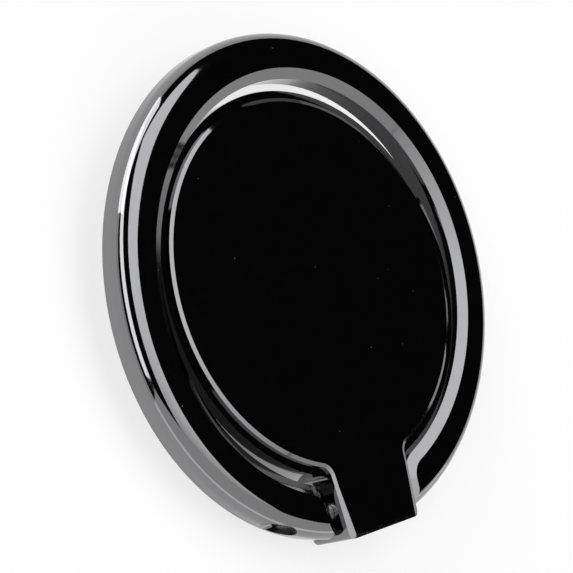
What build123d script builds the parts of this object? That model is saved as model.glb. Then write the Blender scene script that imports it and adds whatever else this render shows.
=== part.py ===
"""Phone ring holder: a finger ring hinged to a keyhole plate that turns on a base stuck to a phone."""
import os
from math import atan2, cos, radians, sin, sqrt, tan

from build123d import *

os.makedirs("parts", exist_ok=True)

# Driving dimensions, in millimetres and degrees. Z = 0 is the sticky face, the swivel axis is Z, the plate's
# face looks along +Z, and the tail with the hinge points along -Y.

# Ring
ring_outer_radius = 18.0
ring_width = 3.5
ring_thickness = 2.66
ring_face_shoulder = 1.28
ring_back_chamfer = 0.63
ring_bevel = 0.72  # along the inner edge and round the ends
ring_bevel_depth = 0.43
ring_inner_back_chamfer = 0.8
ring_end_corner = 2.0
ring_drop = 0.49  # how far the folded ring's face lies below the plate's face
ring_lift = 3.8  # how far the ring stands off its folded place

# Keyhole plate
plate_thickness = 2.8
plate_edge = 0.26
plate_edge_depth = 0.1
plate_ledge = 0.6  # flat rim round the raised face
plate_ledge_depth = 0.28
groove = 0.55  # between the disc and the ring around it
neck_round = 0.9
tail_set_back = 0.1  # the tail ends this far inside the ring's outer circle
tail_end_width = 7.2
tail_face_width = 6.2  # of the face at the tail's end, between the two side facets
tail_draft = 3.2
tail_facet_start = 0.15  # beyond the disc's rim, where the tail's edges begin to widen into facets
tail_corner_round = 0.5
tail_back_chamfer = 0.15
tail_ground_gap = 0.3  # under the tail, so that it turns clear of the phone
tail_lap = 2.0  # how far the tail's sides run into the disc

# Hinge
hinge_inset = 2.3  # pin axis, in from the ring's outer wall
pin_diameter = 1.4
pin_depth = 1.1  # pin axis, below the ring's face
pin_running_gap = 0.03
pin_press_gap = 0.01
pin_recess = 0.4  # pin ends, in from the nearest rim of their holes
hinge_side_gap = 0.38

# Base and swivel
pad_thickness = 0.5
pad_margin = 0.2
base_margin = 0.75  # the base's rim, in from the disc's
base_sheet = 0.6
dish_radius = 4.6
dish_rise = 0.75
dish_slope = 0.6
block_gap = 0.6  # between the base's rim and the deep part of the tail
washer_thickness = 0.25
washer_margin = 1.55
washer_width = 4.4
swivel_gap = 0.05
recess_gap = 0.4  # round the dish, in the plate's back
rivet_radius = 1.5
rivet_running_gap = 0.05
rivet_press_gap = 0.01
rivet_seat_depth = 1.1
rivet_collar_radius = 2.3
rivet_collar_thickness = 0.25
rivet_head_radius = 3.2
rivet_head_thickness = 0.35
rivet_head_gap = 0.05
spring_sheet = 0.18
spring_bore_gap = 0.2
spring_margin = 0.2
spring_gap = 0.03

# Heights and radii that follow
base_top = pad_thickness + base_sheet
plate_back = base_top + washer_thickness + swivel_gap
plate_face = plate_back + plate_thickness
hinge_height = plate_face - ring_drop - pin_depth
dish_roof = pad_thickness + dish_rise
dish_top = dish_roof + base_sheet
dish_foot_radius = dish_radius + dish_slope
dish_bend_shift = base_sheet * tan(atan2(dish_rise, dish_slope) / 2)
collar_seat = dish_top + swivel_gap + rivet_collar_thickness
rivet_top = collar_seat + rivet_seat_depth
rivet_foot = pad_thickness + rivet_head_gap
spring_foot = rivet_foot + rivet_head_thickness
spring_top = dish_roof - spring_gap
ring_inner_radius = ring_outer_radius - ring_width
plate_radius = ring_inner_radius - groove
face_radius = plate_radius - plate_ledge
ledge_height = plate_face - plate_ledge_depth
base_radius = plate_radius - base_margin
washer_radius = plate_radius - washer_margin
hinge_reach = ring_outer_radius - hinge_inset
pin_radius = pin_diameter / 2
tail_end_reach = ring_outer_radius - tail_set_back
tail_block_reach = base_radius + block_gap


def tail_half_width(reach):
    """Half the tail's width at a distance from the swivel axis."""
    return tail_end_width / 2 + (tail_end_reach - reach) * tan(radians(tail_draft))


def tail_corners(start):
    """The tail's corners seen from above, from a distance from the swivel axis to its end."""
    return [
        (-tail_half_width(start), -start),
        (-tail_half_width(tail_end_reach), -tail_end_reach),
        (tail_half_width(tail_end_reach), -tail_end_reach),
        (tail_half_width(start), -start),
    ]


# The upper line of a facet along the tail's side, from above the disc's rim to the tail's end
facet_reach = plate_radius + tail_facet_start
facet_line = Edge.make_line(
    (tail_half_width(facet_reach) - plate_edge, -facet_reach, plate_face),
    (tail_face_width / 2, -tail_end_reach, plate_face),
)
facet_run = facet_line.tangent_at(0)
facet_slope = plate_edge_depth / plate_edge

ring_half_gap = tail_half_width(hinge_reach) + hinge_side_gap
pin_half_length = sqrt(ring_outer_radius**2 - (hinge_reach + pin_radius) ** 2) - pin_recess

# The ring's own frame: origin on the pin axis, local Y across the ring, local Z out of its face
ring_frame = Plane(
    origin=(0, -hinge_reach, hinge_height),
    x_dir=(1, 0, 0),
    z_dir=(0, -sin(radians(ring_lift)), cos(radians(ring_lift))),
)
ring_back = ring_frame.offset(pin_depth - ring_thickness)
ring_centre = ring_back.origin + ring_frame.y_dir * hinge_reach
ring_section = Plane(origin=ring_centre, x_dir=-ring_frame.y_dir, z_dir=-ring_frame.x_dir)
ring_axis = Axis(ring_centre, ring_frame.z_dir)
blank_margin = ring_face_shoulder + ring_back_chamfer

# Foam tape that sticks the holder to a phone
with BuildPart() as adhesive_pad:
    with BuildSketch(Plane.XY):
        Circle(base_radius - pad_margin)
    extrude(amount=pad_thickness)
adhesive_pad.part.label = "adhesive_pad"

# Pressed steel base: a flat rim on the pad, and a raised centre over the rivet's head
with BuildPart() as base_plate:
    with BuildSketch(Plane.XZ):
        with BuildLine():
            Polyline(
                (rivet_radius + rivet_running_gap, dish_roof),
                (dish_radius, dish_roof),
                (dish_foot_radius, pad_thickness),
                (base_radius, pad_thickness),
                (base_radius, base_top),
                (dish_foot_radius + dish_bend_shift, base_top),
                (dish_radius + dish_bend_shift, dish_top),
                (rivet_radius + rivet_running_gap, dish_top),
                close=True,
            )
        make_face()
    revolve(axis=Axis.Z)
base_plate.part.label = "base_plate"

# Plastic washer that the plate slides on
with BuildPart() as slide_washer:
    with BuildSketch(Plane.XY.offset(base_top)):
        Circle(washer_radius)
        Circle(washer_radius - washer_width, mode=Mode.SUBTRACT)
    extrude(amount=washer_thickness)
slide_washer.part.label = "slide_washer"

# Rivet that holds the base to the plate: head below the dish, collar above it, end seated in the plate
with BuildPart() as swivel_rivet:
    with BuildSketch(Plane.XY.offset(rivet_foot)):
        Circle(rivet_head_radius)
    extrude(amount=rivet_head_thickness)
    with BuildSketch(Plane.XY.offset(spring_foot)):
        Circle(rivet_radius)
    extrude(amount=rivet_top - spring_foot)
    with BuildSketch(Plane.XY.offset(collar_seat - rivet_collar_thickness)):
        Circle(rivet_collar_radius)
    extrude(amount=rivet_collar_thickness)
swivel_rivet.part.label = "swivel_rivet"

# Conical spring between the rivet's head and the dish, which gives the swivel its drag
with BuildPart() as disc_spring:
    with BuildSketch(Plane.XZ):
        with BuildLine():
            Polyline(
                (rivet_head_radius - spring_margin, spring_foot),
                (rivet_head_radius - spring_margin, spring_foot + spring_sheet),
                (rivet_radius + spring_bore_gap, spring_top),
                (rivet_radius + spring_bore_gap, spring_top - spring_sheet),
                close=True,
            )
        make_face()
    revolve(axis=Axis.Z)
disc_spring.part.label = "disc_spring"

# Turning plate: a disc and a tail in one casting
with BuildPart() as keyhole_plate:
    with BuildSketch(Plane.XY.offset(plate_back)) as plate_outline:
        Circle(plate_radius)
        Polygon(*tail_corners(plate_radius - tail_lap), align=None)
        neck = plate_outline.vertices().sort_by(Axis.Y)[2:4]
        fillet(neck, radius=neck_round)
        tail_end = plate_outline.vertices().sort_by(Axis.Y)[0:2]
        fillet(tail_end, radius=tail_corner_round)
    extrude(amount=plate_thickness - plate_ledge_depth)
    # The face stands on a flat ledge round the disc, and its bevelled edge widens along the tail's sides
    with BuildSketch(Plane.XY.offset(ledge_height)) as face_outline:
        Circle(face_radius)
        Polygon(*tail_corners(face_radius - tail_lap), align=None)
        face_neck = face_outline.vertices().sort_by(Axis.Y)[2:4]
        fillet(face_neck, radius=neck_round)
        face_end = face_outline.vertices().sort_by(Axis.Y)[0:2]
        fillet(face_end, radius=tail_corner_round)
    extrude(amount=plate_ledge_depth)
    plate_top = keyhole_plate.faces().sort_by(Axis.Z)[-1]
    chamfer(plate_top.edges(), length=plate_edge, length2=plate_edge_depth, reference=plate_top)
    for side in (-1, 1):
        facet_side = Plane(
            origin=(side * facet_line.position_at(0).X, facet_line.position_at(0).Y, plate_face),
            x_dir=(side * -facet_run.Y, facet_run.X, 0),
            z_dir=(side * facet_run.X, facet_run.Y, 0),
        )
        with BuildSketch(facet_side.offset(-tail_facet_start)):
            Polygon(
                (0, 0),
                (tail_lap, -side * tail_lap * facet_slope),
                (tail_lap, side * tail_lap),
                align=None,
            )
        extrude(amount=facet_line.length + tail_lap, mode=Mode.SUBTRACT)
    # The tail is deeper than the disc, and stops just clear of the phone
    with BuildSketch(Plane.XY.offset(tail_ground_gap)) as block_outline:
        Polygon(*tail_corners(tail_block_reach), align=None)
        block_end = block_outline.vertices().sort_by(Axis.Y)[0:2]
        fillet(block_end, radius=tail_corner_round)
    extrude(amount=plate_back - tail_ground_gap)
    tail_back = keyhole_plate.faces().sort_by(Axis.Z)[0].outer_wire().edges()
    chamfer(tail_back, length=tail_back_chamfer)
    with BuildSketch(Plane.YZ):
        with Locations((-hinge_reach, hinge_height)):
            Circle(pin_radius + pin_running_gap)
    extrude(amount=tail_end_width, both=True, mode=Mode.SUBTRACT)
    # Room for the dish, and the rivet's seat, in the back
    with BuildSketch(Plane.XY.offset(plate_back)):
        Circle(dish_foot_radius + dish_bend_shift + recess_gap)
    extrude(amount=collar_seat - plate_back, mode=Mode.SUBTRACT)
    with BuildSketch(Plane.XY.offset(collar_seat)):
        Circle(rivet_radius + rivet_press_gap)
    extrude(amount=rivet_seat_depth, mode=Mode.SUBTRACT)
keyhole_plate.part.label = "keyhole_plate"

# Finger ring: a C-shaped band, bevelled along its inner edge and ends, then turned to the ring's section
with BuildPart() as ring:
    with BuildSketch(ring_back) as band:
        with Locations((0, hinge_reach)):
            Circle(ring_outer_radius + blank_margin)
            Circle(ring_inner_radius, mode=Mode.SUBTRACT)
        with Locations((0, hinge_reach)):
            Rectangle(
                2 * ring_half_gap,
                2 * (ring_outer_radius + blank_margin),
                align=(Align.CENTER, Align.MAX),
                mode=Mode.SUBTRACT,
            )
        inner_corners = band.vertices().sort_by_distance((0, hinge_reach))[0:2]
        fillet(inner_corners, radius=ring_end_corner)
    extrude(amount=ring_thickness)
    ring_face = ring.faces().sort_by(ring_axis)[-1]
    bevel_edges = ring_face.edges().sort_by(SortBy.LENGTH)[:-1]
    chamfer(bevel_edges, length=ring_bevel, length2=ring_bevel_depth, reference=ring_face)
    with BuildSketch(ring_section) as section:
        Polygon(
            (ring_inner_radius + ring_inner_back_chamfer, 0),
            (ring_outer_radius - ring_back_chamfer, 0),
            (ring_outer_radius, ring_back_chamfer),
            (ring_outer_radius, ring_thickness),
            (ring_inner_radius - ring_inner_back_chamfer, ring_thickness),
            (ring_inner_radius - ring_inner_back_chamfer, 2 * ring_inner_back_chamfer),
            align=None,
        )
        outer_face = section.vertices().sort_by_distance((ring_outer_radius, ring_thickness))[0]
        fillet(outer_face, radius=ring_face_shoulder)
    revolve(axis=ring_axis, mode=Mode.INTERSECT)
    with BuildSketch(Plane.YZ):
        with Locations((-hinge_reach, hinge_height)):
            Circle(pin_radius + pin_press_gap)
    extrude(amount=ring_outer_radius, both=True, mode=Mode.SUBTRACT)
ring.part.label = "ring"

# Hinge pin, tight in the ring's ends and free in the tail
with BuildPart() as hinge_pin:
    with BuildSketch(Plane.YZ):
        with Locations((-hinge_reach, hinge_height)):
            Circle(pin_radius)
    extrude(amount=pin_half_length, both=True)
hinge_pin.part.label = "hinge_pin"

for piece in (
    adhesive_pad,
    base_plate,
    slide_washer,
    swivel_rivet,
    disc_spring,
    keyhole_plate,
    ring,
    hinge_pin,
):
    export_step(piece.part, f"parts/{piece.part.label}.step")
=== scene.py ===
"""Phone ring holder in black mirror plating, with its hidden pieces, under studio light."""
from math import pi

import bpy
from mathutils import Matrix, Vector

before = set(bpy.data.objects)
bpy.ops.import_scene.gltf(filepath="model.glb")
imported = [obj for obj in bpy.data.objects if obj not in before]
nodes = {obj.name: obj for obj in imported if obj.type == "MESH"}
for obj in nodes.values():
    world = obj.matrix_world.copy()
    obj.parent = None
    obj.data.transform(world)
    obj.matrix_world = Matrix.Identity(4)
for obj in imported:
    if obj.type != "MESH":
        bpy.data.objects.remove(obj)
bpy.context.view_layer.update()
scene = bpy.context.scene

# Camera, from a fit to the ring's and the disc's edges in the photograph
CAMERA_EYE = Vector((-0.08807, -0.00741, 0.08898))
CAMERA_RIGHT = Vector((0.693646, -0.26352, 0.670383))
CAMERA_UP = Vector((0.144626, 0.962677, 0.228774))
CAMERA_FOCAL_PIXELS = 1742.4
CAMERA_CLIP_START = 0.005
IMAGE_PIXELS = 573
SENSOR_MM = 36.0

# Stage, in metres. The backdrop is low, and near enough for the cameras of other views to reach
STAGE_RADIUS = 2.2
STAGE_SIDES = 96
BACKDROP_HEIGHT = 0.42
FLOOR_LEVEL = 0.00002  # a hair above the sticky face, so that the two never share a plane
OWN_WHITE = 0.7  # share of the stage's look that no shadow reaches
WORLD_GREY = 0.006

# Most of a noise lies between these values
NOISE_LOW = 0.3
NOISE_HIGH = 0.7

DUST_SHARE = 0.07  # of the cells that could hold a speck
DUST_CORE = 0.05  # of a speck, in cells
DUST_EDGE = 0.1
DUST_ROUGHNESS = 0.3
STEEL_ROUGHNESS_SPREAD = 0.06


# Node helpers

def node_material(name):
    """A fresh material, its node tree and its Principled shader."""
    material = bpy.data.materials.new(name)
    material.use_nodes = True
    tree = material.node_tree
    return material, tree, tree.nodes["Principled BSDF"]


def coordinates(tree):
    """Object coordinates, which are metres in the part's own frame."""
    return tree.nodes.new("ShaderNodeTexCoord").outputs["Object"]


def noise(tree, vector, scale, detail):
    """A soft random value from 0 to 1."""
    node = tree.nodes.new("ShaderNodeTexNoise")
    node.inputs["Scale"].default_value = scale
    node.inputs["Detail"].default_value = detail
    tree.links.new(vector, node.inputs["Vector"])
    return node.outputs["Fac"]


def cells(tree, vector, scale):
    """Random cells: the distance from each one's middle, and a colour of its own."""
    node = tree.nodes.new("ShaderNodeTexVoronoi")
    node.inputs["Scale"].default_value = scale
    tree.links.new(vector, node.inputs["Vector"])
    return node.outputs["Distance"], node.outputs["Color"]


def spread(tree, value, low_in, high_in, low_out, high_out):
    """Maps one range of values on another, and keeps to it."""
    node = tree.nodes.new("ShaderNodeMapRange")
    node.inputs["From Min"].default_value = low_in
    node.inputs["From Max"].default_value = high_in
    node.inputs["To Min"].default_value = low_out
    node.inputs["To Max"].default_value = high_out
    tree.links.new(value, node.inputs["Value"])
    return node.outputs["Result"]


def combine(tree, operation, first, second):
    """One operation on two values, either of which may be a plain number."""
    node = tree.nodes.new("ShaderNodeMath")
    node.operation = operation
    for socket, value in zip(node.inputs, (first, second)):
        if isinstance(value, (int, float)):
            socket.default_value = value
        else:
            tree.links.new(value, socket)
    return node.outputs["Value"]


def colour(tree, shader, value, dark, light):
    """Colours the surface between two colours, by a value from 0 to 1."""
    node = tree.nodes.new("ShaderNodeValToRGB")
    node.color_ramp.elements[0].color = (*dark, 1)
    node.color_ramp.elements[1].color = (*light, 1)
    tree.links.new(value, node.inputs["Fac"])
    tree.links.new(node.outputs["Color"], shader.inputs["Base Color"])


def roughen(tree, shader, value, smooth, rough):
    """Makes the surface smoother or rougher by a noise."""
    roughness = spread(tree, value, NOISE_LOW, NOISE_HIGH, smooth, rough)
    tree.links.new(roughness, shader.inputs["Roughness"])


def bump(tree, shader, height, strength, distance):
    """Tilts the surface by a height, whose full range is a distance in metres."""
    node = tree.nodes.new("ShaderNodeBump")
    node.inputs["Strength"].default_value = strength
    node.inputs["Distance"].default_value = distance
    tree.links.new(height, node.inputs["Height"])
    tree.links.new(node.outputs["Normal"], shader.inputs["Normal"])


# Materials

def black_plating():
    """Polished black plating: a dark mirror with faint waves, haze and a few specks of dust."""
    material, tree, shader = node_material("black_plating")
    place = coordinates(tree)
    haze = noise(tree, place, scale=900, detail=4)
    waves = noise(tree, place, scale=260, detail=1)
    distance, cell_colour = cells(tree, place, scale=1500)
    cell = tree.nodes.new("ShaderNodeSeparateColor")
    tree.links.new(cell_colour, cell.inputs["Color"])
    dusty = combine(tree, "GREATER_THAN", cell.outputs["Red"], 1 - DUST_SHARE)
    speck = spread(tree, distance, DUST_CORE, DUST_EDGE, 1, 0)
    dust = combine(tree, "MULTIPLY", speck, dusty)
    dulled = combine(tree, "MULTIPLY", dust, DUST_ROUGHNESS)
    polish = spread(tree, haze, NOISE_LOW, NOISE_HIGH, 0.035, 0.075)
    roughness = combine(tree, "ADD", polish, dulled)
    tree.links.new(roughness, shader.inputs["Roughness"])
    shader.inputs["Metallic"].default_value = 1.0
    colour(tree, shader, haze, dark=(0.212, 0.212, 0.217), light=(0.228, 0.228, 0.233))
    bump(tree, shader, waves, strength=0.25, distance=0.000006)
    return material


def steel(name, dark, light, roughness, grain):
    """Plain steel with a fine grain."""
    material, tree, shader = node_material(name)
    fine = noise(tree, coordinates(tree), scale=grain, detail=3)
    shader.inputs["Metallic"].default_value = 1.0
    colour(tree, shader, fine, dark, light)
    smooth = roughness - STEEL_ROUGHNESS_SPREAD
    rough = roughness + STEEL_ROUGHNESS_SPREAD
    roughen(tree, shader, fine, smooth, rough)
    bump(tree, shader, fine, strength=0.2, distance=0.000004)
    return material


def coated_steel():
    """Black coating on pressed steel, with a fine orange peel."""
    material, tree, shader = node_material("base_steel")
    peel = noise(tree, coordinates(tree), scale=1800, detail=2)
    colour(tree, shader, peel, dark=(0.028, 0.028, 0.03), light=(0.05, 0.05, 0.052))
    roughen(tree, shader, peel, smooth=0.34, rough=0.46)
    bump(tree, shader, peel, strength=0.3, distance=0.00001)
    return material


def washer_plastic():
    """Milky, slightly cloudy sheet plastic."""
    material, tree, shader = node_material("washer_plastic")
    cloud = noise(tree, coordinates(tree), scale=500, detail=3)
    colour(tree, shader, cloud, dark=(0.74, 0.74, 0.71), light=(0.82, 0.82, 0.8))
    roughen(tree, shader, cloud, smooth=0.4, rough=0.52)
    bump(tree, shader, cloud, strength=0.15, distance=0.00001)
    return material


def pad_foam():
    """Foam tape: dark closed cells under a tacky skin."""
    material, tree, shader = node_material("pad_foam")
    distance, _ = cells(tree, coordinates(tree), scale=4200)
    colour(tree, shader, distance, dark=(0.06, 0.06, 0.062), light=(0.12, 0.12, 0.12))
    roughness = spread(tree, distance, 0.0, 0.6, 0.55, 0.8)
    tree.links.new(roughness, shader.inputs["Roughness"])
    bump(tree, shader, distance, strength=0.5, distance=0.00004)
    return material


def stage_paper():
    """Pale matt paper that shows mostly its own white, seen or mirrored, and a soft shadow."""
    material, tree, shader = node_material("studio_paper")
    grain = noise(tree, coordinates(tree), scale=40, detail=3)
    colour(tree, shader, grain, dark=(0.9, 0.9, 0.9), light=(0.93, 0.93, 0.93))
    shader.inputs["Roughness"].default_value = 0.9
    shader.inputs["Specular IOR Level"].default_value = 0.1
    rays = tree.nodes.new("ShaderNodeLightPath").outputs
    seen = combine(tree, "ADD", rays["Is Camera Ray"], rays["Is Glossy Ray"])
    seen = combine(tree, "ADD", seen, rays["Is Transmission Ray"])
    white = tree.nodes.new("ShaderNodeEmission")
    mix = tree.nodes.new("ShaderNodeMixShader")
    tree.links.new(spread(tree, seen, 0, 1, 0, OWN_WHITE), mix.inputs["Fac"])
    tree.links.new(shader.outputs["BSDF"], mix.inputs[1])
    tree.links.new(white.outputs["Emission"], mix.inputs[2])
    tree.links.new(mix.outputs["Shader"], tree.nodes["Material Output"].inputs["Surface"])
    return material


# The pieces' materials

def dress(node, material):
    """Gives a CAD node its only material."""
    mesh = nodes[node].data
    mesh.materials.clear()
    mesh.materials.append(material)


plating = black_plating()
dress("ring", plating)
dress("keyhole_plate", plating)
dress(
    "hinge_pin",
    steel("pin_steel", (0.3, 0.3, 0.31), (0.5, 0.5, 0.51), roughness=0.28, grain=3000),
)
dress(
    "swivel_rivet",
    steel("rivet_steel", (0.42, 0.42, 0.42), (0.56, 0.56, 0.55), roughness=0.32, grain=2500),
)
dress(
    "disc_spring",
    steel("spring_steel", (0.28, 0.28, 0.29), (0.42, 0.42, 0.43), roughness=0.35, grain=2500),
)
dress("slide_washer", washer_plastic())
dress("base_plate", coated_steel())
dress("adhesive_pad", pad_foam())

# Floor and backdrop
bpy.ops.mesh.primitive_circle_add(
    vertices=STAGE_SIDES,
    radius=STAGE_RADIUS,
    fill_type="NGON",
    location=(0, 0, FLOOR_LEVEL),
)
floor = bpy.context.object
floor.name = "studio_floor"
bpy.ops.mesh.primitive_cylinder_add(
    vertices=STAGE_SIDES,
    radius=STAGE_RADIUS,
    depth=BACKDROP_HEIGHT,
    end_fill_type="NOTHING",
    location=(0, 0, BACKDROP_HEIGHT / 2),
)
backdrop = bpy.context.object
backdrop.name = "studio_backdrop"
paper = stage_paper()
for piece in (floor, backdrop):
    piece.data.materials.append(paper)


# Lights

def softbox(
    name, place, across, towards, width, height, radiance, edge_glow=1.0, edge_reach=1.0
):
    """A rectangular lamp: its place, the line its width lies along, and the point it faces.

    The glow may start lower at the lamp's lower edge, and is full from a share of its height on.
    """
    lamp = bpy.data.lights.new(name, "AREA")
    lamp.shape = "RECTANGLE"
    lamp.size = width
    lamp.size_y = height
    lamp.energy = radiance * pi * width * height
    lamp.use_nodes = True
    tree = lamp.node_tree
    spot = tree.nodes.new("ShaderNodeSeparateXYZ")
    surface = tree.nodes.new("ShaderNodeNewGeometry")
    tree.links.new(surface.outputs["Parametric"], spot.inputs["Vector"])
    glow = spread(tree, spot.outputs["Y"], 0, edge_reach, edge_glow, 1)
    tree.links.new(glow, tree.nodes["Emission"].inputs["Strength"])
    piece = bpy.data.objects.new(name, lamp)
    side = Vector(across).normalized()
    back = (Vector(place) - Vector(towards)).normalized()
    upright = back.cross(side).normalized()
    turn = Matrix((upright.cross(back), upright, back)).transposed().to_4x4()
    piece.matrix_world = Matrix.Translation(place) @ turn
    piece.visible_camera = False
    scene.collection.objects.link(piece)


softbox(
    "overhead_softbox",
    place=(0.165, 0.33, 1.0),
    across=(1, 0, 0),
    towards=(0.165, 0.33, 0),
    width=0.97,
    height=2.0,
    radiance=2.05,
    edge_glow=0.45,
    edge_reach=0.35,
)
softbox(
    "side_strip",
    place=(-0.6, 0.96, 0.41),
    across=(0, 1, 0),
    towards=(0, 0.96, 0),
    width=2.48,
    height=0.25,
    radiance=3.1,
)
softbox(
    "corner_panel",
    place=(-0.53, 1.13, 0.37),
    across=(0.905, 0.425, 0),
    towards=(0, 0, 0.37),
    width=1.12,
    height=0.7,
    radiance=3.1,
)
softbox(
    "front_card",
    place=(-0.2, -0.9, 0.67),
    across=(1, 0, 0),
    towards=(-0.2, 0, 0.67),
    width=2.6,
    height=1.32,
    radiance=0.85,
)
softbox(
    "front_card_end",
    place=(2.25, -0.9, 0.29),
    across=(1, 0, -0.12),
    towards=(2.25, 0, 0.29),
    width=2.4,
    height=0.62,
    radiance=0.85,
)

world = bpy.data.worlds.new("studio")
world.use_nodes = True
background = world.node_tree.nodes["Background"]
background.inputs["Color"].default_value = (WORLD_GREY, WORLD_GREY, WORLD_GREY, 1)
background.inputs["Strength"].default_value = 1.0
scene.world = world

# Camera
lens = bpy.data.cameras.new("photo_camera")
lens.sensor_fit = "HORIZONTAL"
lens.sensor_width = SENSOR_MM
lens.lens = CAMERA_FOCAL_PIXELS / IMAGE_PIXELS * SENSOR_MM
lens.clip_start = CAMERA_CLIP_START
camera = bpy.data.objects.new("photo_camera", lens)
right = CAMERA_RIGHT.normalized()
back = right.cross(CAMERA_UP).normalized()
up = back.cross(right)
turn = Matrix((right, up, back)).transposed().to_4x4()
camera.matrix_world = Matrix.Translation(CAMERA_EYE) @ turn
scene.collection.objects.link(camera)
scene.camera = camera

scene.view_settings.view_transform = "Standard"
